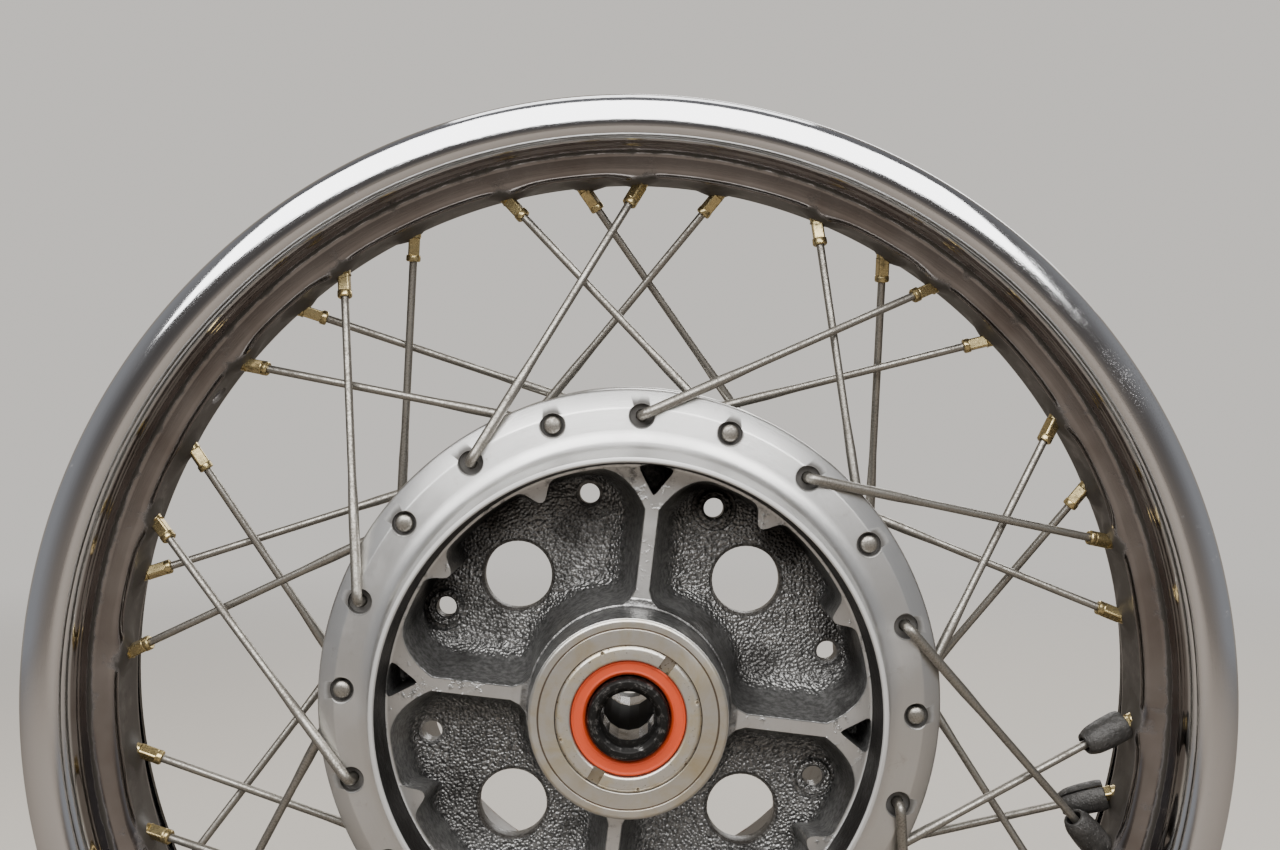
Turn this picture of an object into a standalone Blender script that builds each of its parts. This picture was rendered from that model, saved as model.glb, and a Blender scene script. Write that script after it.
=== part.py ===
"""Spoked rear wheel of a small motorcycle, 17 x 2.50 steel rim on a drum-brake hub.

Frame: metres, +Z up. The wheel stands upright and turns about the Y axis. The origin is the
wheel's centre: on the axle line, in the middle plane of the rim. The damper side of the hub
looks towards -Y and the brake side towards +Y. Angles are measured from +X towards +Z.
"""
import math

import bmesh
import bpy
from mathutils import Matrix, Vector

# Rim: bead seat of a nominal 17 inch rim, 2.50 inches between the flanges.
BEAD_SEAT_RADIUS = 0.21665
RIM_RADIUS = 0.23065
RIM_INNER_WIDTH = 0.0635
RIM_SHEET = 0.0018
WELL_RADIUS = 0.2045
WELL_WIDTH = 0.026
CURL_WIDTH = 0.0810
VALVE_ANGLE = 145.0
VALVE_HOLE_RADIUS = 0.0041

# Spokes: four families of ten, one hole every 36 degrees in each.
SPOKES_PER_FAMILY = 10
SPOKE_PITCH = 360.0 / SPOKES_PER_FAMILY
NECK_RADIUS = 0.0019
SHAFT_RADIUS = 0.0016
HEAD_RADIUS = 0.0036
HEAD_HEIGHT = 0.0022
STEP_LENGTH = 0.0006
SPOKE_SIDES = 6
SPOKE_RING_TURN = 12.0
SPOKE_HOLE_RADIUS = 0.0028
NIPPLE_RADIUS = 0.0027
NIPPLE_OUTSIDE = 0.0115
NIPPLE_HEAD_RADIUS = 0.0038
NIPPLE_HEAD_START = 0.0053
NIPPLE_HEAD_HEIGHT = 0.0016
NIPPLE_HOLE_RADIUS = 0.0033

# Spoke flanges of the hub.
NEAR_HOLE_CIRCLE = 0.1092
NEAR_FLANGE_OUTSIDE = -0.0360
NEAR_FLANGE_INSIDE = -0.0283
FAR_HOLE_CIRCLE = 0.1120
FAR_FLANGE_INSIDE = 0.0185
FAR_FLANGE_OUTSIDE = 0.0275
ELBOW_STANDOFF = 0.0038
HEAD_GAP = 0.0007

# Hub casting, damper side.
LIP_FACE = -0.0596
LIP_INNER_RADIUS = 0.0919
RIB_FACE = -0.0430
POCKET_FLOOR = -0.0154
WEB_BACK = -0.0070
BOSS_FACE = -0.0620
BOSS_RADIUS = 0.0360
RIB_ANGLE = -6.7
RIB_HALF_WIDTH = 0.0026
POCKET_INNER_RADIUS = 0.0410
POCKET_OUTER_RADIUS = 0.0896
TOOTH_ANGLES = (29.5, 60.5)
TOOTH_HEIGHT = 0.0066
TOOTH_SPREAD = 2.5
LARGE_HOLE_RADIUS = 0.0133
LARGE_HOLE_CIRCLE = 0.0638
LARGE_HOLE_ANGLE = 50.4
SMALL_HOLE_RADIUS = 0.0040
SMALL_HOLE_CIRCLE = 0.0798
SMALL_HOLE_ANGLES = (18.1, 71.9)

# Hub casting, brake side.
BARREL_RADIUS = 0.0970
DRUM_MOUTH = 0.0500
DRUM_RADIUS = 0.0900
LINER_OUTER_RADIUS = 0.0951
LINER_START = 0.0060
FAR_BOSS_FACE = 0.0260
FAR_BOSS_RADIUS = 0.0330

# Bearings: 20 mm bore, 52 mm outside diameter, 15 mm wide.
AXLE_RADIUS = 0.0100
BEARING_RADIUS = 0.0260
BEARING_WIDTH = 0.0150
NEAR_BEARING_START = -0.0520
FAR_BEARING_START = 0.0043
BALL_RADIUS = 0.0044
BALL_CIRCLE = 0.0180
BALL_COUNT = 7
HUB_BORE_RADIUS = 0.0200

# Retainer, seals and collars.
RETAINER_RADIUS = 0.0266
RETAINER_BORE = 0.0209
COLLAR_RADIUS = 0.01485
NEAR_COLLAR_END = -0.0640
FAR_COLLAR_END = 0.0300
GAP = 0.0003

# Balance weights clamped over three nipples.
WEIGHT_RADIUS = 0.0062
WEIGHT_LENGTH = 0.0185
WEIGHT_START = 0.0040

HUB_SIDES = 40
RIM_SIDES = 48
SMALL_SIDES = 16
MERGE = 0.000005

SOURCE_COLOURS = {
    "chrome": ((0.62, 0.62, 0.64), 0.18, 1.0),
    "zinc_steel": ((0.36, 0.35, 0.32), 0.42, 1.0),
    "cast_aluminium": ((0.46, 0.45, 0.43), 0.48, 1.0),
    "turned_aluminium": ((0.66, 0.63, 0.56), 0.36, 1.0),
    "cast_iron": ((0.16, 0.15, 0.14), 0.55, 1.0),
    "bearing_steel": ((0.55, 0.55, 0.55), 0.22, 1.0),
    "collar_steel": ((0.12, 0.12, 0.12), 0.35, 1.0),
    "orange_rubber": ((0.55, 0.09, 0.03), 0.55, 0.0),
    "black_rubber": ((0.03, 0.03, 0.03), 0.60, 0.0),
    "lead": ((0.10, 0.10, 0.10), 0.60, 0.6),
}


def material(name):
    """Principled material for one finish, made once and then shared."""
    found = bpy.data.materials.get(name)
    if found:
        return found
    colour, roughness, metallic = SOURCE_COLOURS[name]
    made = bpy.data.materials.new(name)
    made.use_nodes = True
    shader = made.node_tree.nodes["Principled BSDF"]
    shader.inputs["Base Color"].default_value = (*colour, 1.0)
    shader.inputs["Roughness"].default_value = roughness
    shader.inputs["Metallic"].default_value = metallic
    made.diffuse_color = (*colour, 1.0)
    return made


def add_object(name, mesh, parent=None):
    piece = bpy.data.objects.new(name, mesh)
    bpy.context.scene.collection.objects.link(piece)
    piece.parent = parent
    return piece


def finish_mesh(name, bm, finish):
    """Turn a bmesh into a smooth-shaded mesh with sharp corners kept."""
    bmesh.ops.recalc_face_normals(bm, faces=bm.faces)
    mesh = bpy.data.meshes.new(name)
    bm.to_mesh(mesh)
    bm.free()
    mesh.materials.append(material(finish))
    mesh.shade_smooth()
    mesh.set_sharp_from_angle(angle=math.radians(35.0))
    return mesh


def polar(radius, degrees, y=0.0):
    """Point at a radius and an angle about the axle."""
    turn = math.radians(degrees)
    return Vector((radius * math.cos(turn), y, radius * math.sin(turn)))


def turned_mesh(name, outline, finish, sides=SMALL_SIDES):
    """Spin a closed outline of (y, radius) points about the axle."""
    bm = bmesh.new()
    verts = [bm.verts.new((radius, y, 0.0)) for y, radius in outline]
    edges = [bm.edges.new((verts[i - 1], verts[i])) for i in range(len(verts))]
    bmesh.ops.spin(
        bm, geom=verts + edges, cent=(0.0, 0.0, 0.0), axis=(0.0, 1.0, 0.0),
        dvec=(0.0, 0.0, 0.0), angle=math.tau, steps=sides, use_duplicate=False)
    bmesh.ops.remove_doubles(bm, verts=bm.verts, dist=MERGE)
    return finish_mesh(name, bm, finish)


def rectangle_ring(start, end, inner, outer):
    """Outline of a plain ring between two axial faces and two radii."""
    return [(start, inner), (start, outer), (end, outer), (end, inner)]


def drill(bm, start, end, radius, sides=8):
    """Add a cylinder from start to end, used for cutting."""
    along = end - start
    place = Matrix.Translation((start + end) / 2) @ along.to_track_quat("Z", "Y").to_matrix().to_4x4()
    bmesh.ops.create_cone(
        bm, cap_ends=True, cap_tris=False, segments=sides, radius1=radius, radius2=radius,
        depth=along.length, matrix=place)


def prism(bm, outline, start, end):
    """Add a straight prism along Y whose end face is a list of points."""
    verts = [bm.verts.new((point.x, start, point.z)) for point in outline]
    face = bm.faces.new(verts)
    grown = bmesh.ops.extrude_face_region(bm, geom=[face])
    moved = [item for item in grown["geom"] if isinstance(item, bmesh.types.BMVert)]
    bmesh.ops.translate(bm, verts=moved, vec=(0.0, end - start, 0.0))


def combine(piece, tool_name, tool_bm, operation="DIFFERENCE"):
    """Cut or join a set of separate closed shapes, as one Boolean."""
    bmesh.ops.recalc_face_normals(tool_bm, faces=tool_bm.faces)
    tool_mesh = bpy.data.meshes.new(tool_name)
    tool_bm.to_mesh(tool_mesh)
    tool_bm.free()
    tool = add_object(tool_name, tool_mesh, piece)
    tool.hide_render = True
    tool.display_type = "WIRE"
    boolean = piece.modifiers.new(tool_name, "BOOLEAN")
    boolean.operation = operation
    boolean.solver = "EXACT"
    boolean.object = tool


def elbow_path(family):
    """Centre line and radii of one spoke of a family, from its head to its nipple."""
    hole = polar(family["circle"], family["hub_angle"])
    outward = family["leaves_towards"]
    exit_face = family["exit_face"]
    head_face = family["head_face"]
    bend = hole + Vector((0.0, exit_face + outward * ELBOW_STANDOFF, 0.0))
    seat = polar(WELL_RADIUS, family["hub_angle"] + family["lean"], family["rim_y"])
    aim = (seat - bend).normalized()
    head_top = hole + Vector((0.0, head_face - outward * (HEAD_GAP + HEAD_HEIGHT), 0.0))
    head_foot = hole + Vector((0.0, head_face - outward * HEAD_GAP, 0.0))
    elbow = bend - Vector((0.0, outward * 0.0022, 0.0))
    path = [
        (head_top, HEAD_RADIUS),
        (head_foot, HEAD_RADIUS),
        (head_foot + Vector((0.0, outward * STEP_LENGTH, 0.0)), NECK_RADIUS),
        (elbow, NECK_RADIUS),
        (bend + aim * 0.0026, NECK_RADIUS),
        (seat - aim * (NIPPLE_OUTSIDE + STEP_LENGTH), SHAFT_RADIUS),
        (seat - aim * NIPPLE_OUTSIDE, NIPPLE_RADIUS),
        (seat + aim * (NIPPLE_HEAD_START - STEP_LENGTH), NIPPLE_RADIUS),
        (seat + aim * NIPPLE_HEAD_START, NIPPLE_HEAD_RADIUS),
        (seat + aim * (NIPPLE_HEAD_START + NIPPLE_HEAD_HEIGHT), NIPPLE_HEAD_RADIUS),
    ]
    return path, seat, aim


def spoke_mesh(name, family):
    """Loft rings along the spoke: head, neck, elbow, shaft and nipple in one body."""
    path, seat, aim = elbow_path(family)
    side = aim.cross(Vector((0.0, 1.0, 0.0))).normalized()
    bm = bmesh.new()
    rings = []
    for index, (point, radius) in enumerate(path):
        before = path[max(index - 1, 0)][0]
        after = path[min(index + 1, len(path) - 1)][0]
        across = (after - before).normalized().cross(side)
        ring = []
        for corner in range(SPOKE_SIDES):
            turn = math.radians(SPOKE_RING_TURN) + math.tau * corner / SPOKE_SIDES
            offset = side * math.cos(turn) + across * math.sin(turn)
            ring.append(bm.verts.new(point + offset * radius))
        rings.append(ring)
    head, tip = rings[0], rings[-1]
    for corner in range(1, SPOKE_SIDES - 1):
        bm.faces.new((head[0], head[corner + 1], head[corner]))
    for before, after in zip(rings, rings[1:]):
        for corner in range(SPOKE_SIDES):
            following = (corner + 1) % SPOKE_SIDES
            bm.faces.new((before[corner], before[following], after[following]))
            bm.faces.new((before[corner], after[following], after[corner]))
    for corner in range(1, SPOKE_SIDES - 1):
        bm.faces.new((tip[0], tip[corner], tip[corner + 1]))
    return finish_mesh(name, bm, "zinc_steel")


def rim_outline():
    """Closed outline of the rolled sheet: a centre line thickened to both sides."""
    half_sheet = RIM_SHEET / 2
    well = WELL_RADIUS + half_sheet
    seat = BEAD_SEAT_RADIUS - half_sheet
    half_well = WELL_WIDTH / 2
    flange = RIM_INNER_WIDTH / 2 + half_sheet
    curl = CURL_WIDTH / 2 - half_sheet
    half_line = [
        (half_well - 0.0035, well),
        (half_well, seat - 0.0016),
        (flange - 0.0018, seat),
        (flange, seat + 0.0028),
        (flange + 0.0002, RIM_RADIUS - 0.0040),
        (flange + 0.0040, RIM_RADIUS - half_sheet),
        (curl, RIM_RADIUS - 0.0055),
        (curl - 0.0018, seat + 0.0003),
    ]
    line = [(-y, radius) for y, radius in reversed(half_line)] + half_line
    points = [Vector(point) for point in line]
    hub_side = []
    tyre_side = []
    for index, point in enumerate(points):
        before = point - points[index - 1] if index else points[1] - point
        after = points[index + 1] - point if index < len(points) - 1 else before
        before.normalize()
        after.normalize()
        middle = (before + after).normalized()
        normal = Vector((-middle.y, middle.x)) * half_sheet
        tyre_side.append(tuple(point + normal))
        hub_side.append(tuple(point - normal))
    return hub_side + tyre_side[::-1]


def hub_outline():
    """Closed outline of the hub casting before its pockets and holes are cut."""
    near_bearing_end = NEAR_BEARING_START + BEARING_WIDTH
    return [
        (BOSS_FACE, RETAINER_RADIUS),
        (BOSS_FACE, BOSS_RADIUS),
        (RIB_FACE, BOSS_RADIUS + 0.0015),
        (RIB_FACE, LIP_INNER_RADIUS - 0.0007),
        (LIP_FACE, LIP_INNER_RADIUS),
        (LIP_FACE + 0.0006, LIP_INNER_RADIUS + 0.0027),
        (NEAR_FLANGE_OUTSIDE - 0.0040, BARREL_RADIUS + 0.0005),
        (NEAR_FLANGE_OUTSIDE - 0.0003, 0.1010),
        (NEAR_FLANGE_OUTSIDE, 0.1119),
        (-0.0315, 0.1196),
        (NEAR_FLANGE_INSIDE, 0.1193),
        (NEAR_FLANGE_INSIDE, BARREL_RADIUS + 0.0030),
        (NEAR_FLANGE_INSIDE + 0.0030, BARREL_RADIUS),
        (FAR_FLANGE_INSIDE - 0.0030, BARREL_RADIUS),
        (FAR_FLANGE_INSIDE, BARREL_RADIUS + 0.0030),
        (FAR_FLANGE_INSIDE, 0.1216),
        (0.0228, 0.1220),
        (FAR_FLANGE_OUTSIDE, 0.1135),
        (FAR_FLANGE_OUTSIDE, 0.1045),
        (0.0310, 0.1010),
        (DRUM_MOUTH, 0.1010),
        (DRUM_MOUTH, LINER_OUTER_RADIUS + GAP),
        (LINER_START - GAP, LINER_OUTER_RADIUS + GAP),
        (LINER_START - GAP, DRUM_RADIUS - 0.0020),
        (WEB_BACK, DRUM_RADIUS - 0.0030),
        (WEB_BACK, FAR_BOSS_RADIUS + 0.0030),
        (FAR_BOSS_FACE, FAR_BOSS_RADIUS),
        (FAR_BOSS_FACE, BEARING_RADIUS),
        (FAR_BEARING_START - GAP, BEARING_RADIUS),
        (FAR_BEARING_START - GAP, HUB_BORE_RADIUS),
        (near_bearing_end + GAP, HUB_BORE_RADIUS),
        (near_bearing_end + GAP, BEARING_RADIUS),
        (NEAR_BEARING_START - GAP, BEARING_RADIUS),
        (NEAR_BEARING_START - GAP, RETAINER_RADIUS),
    ]


def pocket_radius(angle):
    """Outer edge of a damper pocket, at an angle counted from the rib before it."""
    to_rib = min(angle, 90.0 - angle)
    radius = POCKET_OUTER_RADIUS
    for tooth in TOOTH_ANGLES:
        radius -= TOOTH_HEIGHT * math.exp(-((angle - tooth) / TOOTH_SPREAD) ** 2)
    if to_rib < 12.0:
        radius -= 0.0145 * (1.0 - (to_rib - 3.0) / 9.0) ** 1.6
    return radius


def pocket_outline(rib_angle):
    """Outline of the pocket between one rib and the next."""
    inner_step = math.degrees(math.asin(RIB_HALF_WIDTH / POCKET_INNER_RADIUS))
    outline = []
    for step in range(7):
        share = inner_step + (90.0 - 2 * inner_step) * step / 6
        outline.append(polar(POCKET_INNER_RADIUS, rib_angle + share))
    for angle in (87.0, 84.0, 81.0, 76.0, 70.0, 65.0, 62.5, 60.5, 58.5, 55.0, 45.0,
                  35.0, 31.5, 29.5, 27.5, 25.0, 20.0, 14.0, 9.0, 6.0, 3.0):
        outline.append(polar(pocket_radius(angle), rib_angle + angle))
    return outline


def cut_hub(hub):
    """Cut the damper pockets, the rib forks and all holes of the hub casting."""
    pockets = bmesh.new()
    holes = bmesh.new()
    for quarter in range(4):
        rib = RIB_ANGLE + 90.0 * quarter
        prism(pockets, pocket_outline(rib), RIB_FACE - 0.001, POCKET_FLOOR)
        fork = [polar(0.0800, rib), polar(0.0895, rib + 4.0), polar(0.0895, rib - 4.0)]
        prism(pockets, fork, RIB_FACE - 0.001, POCKET_FLOOR)
        drill(holes, polar(LARGE_HOLE_CIRCLE, rib + LARGE_HOLE_ANGLE, POCKET_FLOOR - 0.002),
              polar(LARGE_HOLE_CIRCLE, rib + LARGE_HOLE_ANGLE, WEB_BACK + 0.002), LARGE_HOLE_RADIUS, 16)
        for angle in SMALL_HOLE_ANGLES:
            drill(holes, polar(SMALL_HOLE_CIRCLE, rib + angle, POCKET_FLOOR - 0.002),
                  polar(SMALL_HOLE_CIRCLE, rib + angle, WEB_BACK + 0.002), SMALL_HOLE_RADIUS, 8)
    for family in FAMILIES.values():
        inside = min(family["exit_face"], family["head_face"]) - 0.002
        outside = max(family["exit_face"], family["head_face"]) + 0.002
        for number in range(SPOKES_PER_FAMILY):
            angle = family["hub_angle"] + SPOKE_PITCH * number
            drill(holes, polar(family["circle"], angle, inside),
                  polar(family["circle"], angle, outside), SPOKE_HOLE_RADIUS, 6)
    combine(hub, "hub_pocket_cutter", pockets)
    combine(hub, "hub_hole_cutter", holes)


def cut_rim(rim):
    """Cut the nipple holes, each in line with its spoke, and the valve hole."""
    holes = bmesh.new()
    for family in FAMILIES.values():
        path, seat, aim = elbow_path(family)
        for number in range(SPOKES_PER_FAMILY):
            turn = Matrix.Rotation(-math.radians(SPOKE_PITCH * number), 3, "Y")
            drill(holes, turn @ (seat - aim * 0.004), turn @ (seat + aim * 0.006), NIPPLE_HOLE_RADIUS, 6)
    drill(holes, polar(WELL_RADIUS - 0.004, VALVE_ANGLE),
          polar(WELL_RADIUS + 0.006, VALVE_ANGLE), VALVE_HOLE_RADIUS, 10)
    combine(rim, "rim_hole_cutter", holes)


def race_outline(start, inner, outer, groove_on_outside):
    """Outline of a bearing ring with a shallow ball groove on one side."""
    middle = start + BEARING_WIDTH / 2
    groove = 0.0042
    if groove_on_outside:
        bottom = outer - 0.0010
        return [(start, inner), (start, outer), (middle - groove, outer), (middle, bottom),
                (middle + groove, outer), (start + BEARING_WIDTH, outer), (start + BEARING_WIDTH, inner)]
    bottom = inner + 0.0010
    return [(start, inner), (start, outer), (start + BEARING_WIDTH, outer), (start + BEARING_WIDTH, inner),
            (middle + groove, inner), (middle, bottom), (middle - groove, inner)]


def build_bearing(side, start, axle_frame, wheel_frame):
    """Outer ring in the hub, inner ring on the axle, balls held in their cage."""
    middle = start + BEARING_WIDTH / 2
    outer = race_outline(start, 0.0222, BEARING_RADIUS - GAP, False)
    inner = race_outline(start, AXLE_RADIUS, 0.0138, True)
    outer_name = f"{side}_bearing_outer_ring"
    inner_name = f"{side}_bearing_inner_ring"
    cage_name = f"{side}_bearing_ball_cage"
    add_object(outer_name, turned_mesh(outer_name, outer, "bearing_steel"), wheel_frame)
    add_object(inner_name, turned_mesh(inner_name, inner, "bearing_steel"), axle_frame)
    cage_frame = add_object(f"{side}_cage_frame", None)
    cage_ring = rectangle_ring(middle - 0.0016, middle + 0.0016, BALL_CIRCLE - 0.0013, BALL_CIRCLE + 0.0013)
    cage = add_object(cage_name, turned_mesh(cage_name, cage_ring, "bearing_steel", 14), cage_frame)
    balls = bmesh.new()
    for number in range(BALL_COUNT):
        place = Matrix.Translation(polar(BALL_CIRCLE, 360.0 * number / BALL_COUNT, middle))
        bmesh.ops.create_uvsphere(balls, u_segments=6, v_segments=4, radius=BALL_RADIUS, matrix=place)
    combine(cage, f"{side}_ball_set", balls, "UNION")


def build_weight(name, family, number, wheel_frame):
    """Bullet-shaped lead weight around one nipple, turned about the spoke's own line."""
    path, seat, aim = elbow_path(family)
    bore = NIPPLE_RADIUS + GAP
    outline = [
        (WEIGHT_START, bore), (WEIGHT_START, WEIGHT_RADIUS - 0.0022),
        (WEIGHT_START + 0.0025, WEIGHT_RADIUS - 0.0004), (WEIGHT_START + 0.008, WEIGHT_RADIUS),
        (WEIGHT_START + WEIGHT_LENGTH - 0.004, WEIGHT_RADIUS - 0.0008),
        (WEIGHT_START + WEIGHT_LENGTH, bore + 0.0012), (WEIGHT_START + WEIGHT_LENGTH, bore),
    ]
    mesh = turned_mesh(name, outline, "lead", 12)
    turn = Matrix.Rotation(-math.radians(SPOKE_PITCH * number), 4, "Y")
    stand = Matrix.Translation(seat) @ (-aim).to_track_quat("Y", "X").to_matrix().to_4x4()
    weight = add_object(name, mesh, wheel_frame)
    weight.matrix_local = turn @ stand


FAMILIES = {
    "near_outer": {
        "circle": NEAR_HOLE_CIRCLE, "hub_angle": 15.4, "lean": -35.0, "rim_y": -0.0045,
        "head_face": NEAR_FLANGE_INSIDE, "exit_face": NEAR_FLANGE_OUTSIDE, "leaves_towards": -1.0},
    "near_inner": {
        "circle": NEAR_HOLE_CIRCLE, "hub_angle": -2.6, "lean": 35.0, "rim_y": -0.0045,
        "head_face": NEAR_FLANGE_OUTSIDE, "exit_face": NEAR_FLANGE_INSIDE, "leaves_towards": 1.0},
    "far_inner": {
        "circle": FAR_HOLE_CIRCLE, "hub_angle": 5.7, "lean": -34.3, "rim_y": 0.0005,
        "head_face": FAR_FLANGE_OUTSIDE, "exit_face": FAR_FLANGE_INSIDE, "leaves_towards": -1.0},
    "far_outer": {
        "circle": FAR_HOLE_CIRCLE, "hub_angle": 23.7, "lean": 35.9, "rim_y": 0.0005,
        "head_face": FAR_FLANGE_INSIDE, "exit_face": FAR_FLANGE_OUTSIDE, "leaves_towards": 1.0},
}
# Name of a weight, and the family and number of the spoke that it sits on.
WEIGHTS = {
    "balance_weight_upper": ("near_inner", 9),
    "balance_weight_rear": ("far_outer", 8),
    "balance_weight_lower": ("near_outer", 0),
}


def build_wheel():
    axle_frame = add_object("axle_frame", None)
    wheel_frame = add_object("wheel_frame", None)

    rim = add_object("rim", turned_mesh("rim", rim_outline(), "chrome", RIM_SIDES), wheel_frame)
    cut_rim(rim)
    hub = add_object("hub_shell", turned_mesh("hub_shell", hub_outline(), "cast_aluminium", HUB_SIDES), wheel_frame)
    cut_hub(hub)

    for family_name, family in FAMILIES.items():
        mesh = spoke_mesh(f"spoke_{family_name}", family)
        for number in range(SPOKES_PER_FAMILY):
            spoke = add_object(f"spoke_{family_name}_{number + 1:02d}", mesh, wheel_frame)
            spoke.rotation_euler.y = -math.radians(SPOKE_PITCH * number)

    for name, (family_name, number) in WEIGHTS.items():
        build_weight(name, FAMILIES[family_name], number, wheel_frame)

    build_bearing("near", NEAR_BEARING_START, axle_frame, wheel_frame)
    build_bearing("far", FAR_BEARING_START, axle_frame, wheel_frame)
    near_bearing_end = NEAR_BEARING_START + BEARING_WIDTH
    far_bearing_end = FAR_BEARING_START + BEARING_WIDTH

    liner = rectangle_ring(LINER_START, DRUM_MOUTH - 0.0005, DRUM_RADIUS, LINER_OUTER_RADIUS)
    retainer = [
        (BOSS_FACE, RETAINER_BORE), (BOSS_FACE, RETAINER_RADIUS - 2 * GAP),
        (NEAR_BEARING_START - 2 * GAP, RETAINER_RADIUS - 2 * GAP), (NEAR_BEARING_START - 2 * GAP, 0.0190),
        (-0.0545, 0.0190), (-0.0545, RETAINER_BORE)]
    near_seal = rectangle_ring(-0.0600, -0.0550, COLLAR_RADIUS + GAP, RETAINER_BORE - GAP)
    far_seal = rectangle_ring(far_bearing_end + 2 * GAP, FAR_BOSS_FACE - 0.0005,
                              COLLAR_RADIUS + GAP, BEARING_RADIUS - GAP)
    plain_rings = (
        ("brake_drum_liner", liner, "cast_iron", HUB_SIDES, wheel_frame),
        ("bearing_retainer", retainer, "turned_aluminium", 24, wheel_frame),
        ("near_dust_seal", near_seal, "orange_rubber", SMALL_SIDES, wheel_frame),
        ("far_dust_seal", far_seal, "black_rubber", SMALL_SIDES, wheel_frame),
        ("distance_collar", rectangle_ring(near_bearing_end + GAP, FAR_BEARING_START - GAP,
                                           AXLE_RADIUS, 0.0138), "collar_steel", SMALL_SIDES, axle_frame),
        ("near_axle_collar", rectangle_ring(NEAR_COLLAR_END, NEAR_BEARING_START - GAP,
                                            AXLE_RADIUS, COLLAR_RADIUS), "collar_steel", SMALL_SIDES, axle_frame),
        ("far_axle_collar", rectangle_ring(far_bearing_end + GAP, FAR_COLLAR_END,
                                           AXLE_RADIUS, COLLAR_RADIUS), "collar_steel", SMALL_SIDES, axle_frame),
    )
    for name, outline, finish, sides, frame in plain_rings:
        add_object(name, turned_mesh(name, outline, finish, sides), frame)


for old in list(bpy.data.objects):
    bpy.data.objects.remove(old, do_unlink=True)
build_wheel()
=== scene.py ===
import math

import bpy
import numpy as np
from mathutils import Matrix, Vector


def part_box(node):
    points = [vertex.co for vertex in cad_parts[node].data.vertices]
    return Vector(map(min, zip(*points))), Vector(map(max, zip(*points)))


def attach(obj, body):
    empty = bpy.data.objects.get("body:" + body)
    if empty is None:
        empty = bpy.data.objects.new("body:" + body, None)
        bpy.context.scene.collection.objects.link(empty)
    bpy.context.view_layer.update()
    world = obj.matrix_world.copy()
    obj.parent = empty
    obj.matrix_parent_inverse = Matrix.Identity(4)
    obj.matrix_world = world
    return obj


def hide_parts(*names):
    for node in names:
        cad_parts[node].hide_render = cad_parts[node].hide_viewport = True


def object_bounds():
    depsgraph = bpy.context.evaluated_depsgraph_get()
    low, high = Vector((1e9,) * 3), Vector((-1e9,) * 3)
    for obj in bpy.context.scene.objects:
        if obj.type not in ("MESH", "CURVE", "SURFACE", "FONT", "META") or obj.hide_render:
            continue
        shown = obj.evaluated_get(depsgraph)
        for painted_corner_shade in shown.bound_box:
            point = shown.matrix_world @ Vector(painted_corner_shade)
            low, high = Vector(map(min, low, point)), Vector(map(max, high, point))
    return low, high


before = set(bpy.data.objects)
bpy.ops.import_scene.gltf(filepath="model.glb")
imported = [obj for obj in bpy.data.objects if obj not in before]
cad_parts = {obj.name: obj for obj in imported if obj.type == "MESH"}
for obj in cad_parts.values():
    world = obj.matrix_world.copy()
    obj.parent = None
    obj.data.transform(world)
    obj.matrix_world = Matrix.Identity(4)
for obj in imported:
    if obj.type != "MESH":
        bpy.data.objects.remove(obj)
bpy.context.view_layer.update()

# ---------------------------------------------------------------------------
# Rim. One strip of steel rolled to a drop-centre section, seam welded, punched
# with a dimple for every nipple, drilled for the valve and chromium plated.
# Both edges are curled outwards. Outline points are in millimetres.
# ---------------------------------------------------------------------------

MM = 0.001
RIM_STEPS = 432
SHEET_HALF = 0.9 * MM
WELL_RADIUS = 204.5 * MM
DIMPLE_DEPTH = 3.2 * MM
VALVE_TURN = 145.0
VALVE_HOLE = 4.1 * MM
# Each family of ten spokes: hub angle, swing to the rim, hole circle, axial place of the
# bend, of the head and of the seat in the rim, and the way the spoke leaves the flange.
LACING = {
    "near_outer": {"hub": 15.4, "swing": -35.0, "circle": 109.2 * MM, "bend": -39.3 * MM,
                   "head": -26.6 * MM, "seat": -4.5 * MM, "way": -1.0},
    "near_inner": {"hub": -2.6, "swing": 35.0, "circle": 109.2 * MM, "bend": -24.6 * MM,
                   "head": -34.9 * MM, "seat": -4.5 * MM, "way": 1.0},
    "far_inner": {"hub": 5.7, "swing": -34.3, "circle": 112.0 * MM, "bend": 14.8 * MM,
                  "head": 26.4 * MM, "seat": 0.5 * MM, "way": -1.0},
    "far_outer": {"hub": 23.7, "swing": 35.9, "circle": 112.0 * MM, "bend": 31.1 * MM,
                  "head": 19.7 * MM, "seat": 0.5 * MM, "way": 1.0},
}
SPOKES_EACH = 10
SPOKE_PITCH = 360.0 / SPOKES_EACH


def around(radius, degrees, axial=0.0):
    """Point at a radius and an angle about the axle."""
    turn = math.radians(degrees)
    return Vector((radius * math.cos(turn), axial, radius * math.sin(turn)))


def arc(centre, radii, start, end, count):
    """Points of an arc in the (axial, radial) plane, in millimetres and degrees."""
    turns = np.radians(np.linspace(start, end, count))
    return [(centre[0] + radii[0] * math.cos(t), centre[1] + radii[1] * math.sin(t)) for t in turns]


def straight(start, end, count):
    """Evenly spaced points on a straight stretch, without its last point."""
    shares = np.arange(count) / count
    return [(start[0] + (end[0] - start[0]) * s, start[1] + (end[1] - start[1]) * s) for s in shares]


def trace(name, points):
    """Draw a line by extruding one corner from point to point; it stays in edit mode."""
    bpy.ops.object.select_all(action="DESELECT")
    bpy.ops.mesh.primitive_plane_add(size=MM)
    piece = bpy.context.object
    piece.name = name
    piece.data.name = name
    bpy.ops.object.mode_set(mode="EDIT")
    bpy.ops.mesh.select_mode(type="VERT")
    bpy.ops.mesh.merge(type="CENTER")
    bpy.ops.transform.translate(value=points[0])
    for before, after in zip(points, points[1:]):
        bpy.ops.mesh.extrude_region_move(TRANSFORM_OT_translate={"value": after - before})
    return piece


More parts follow.
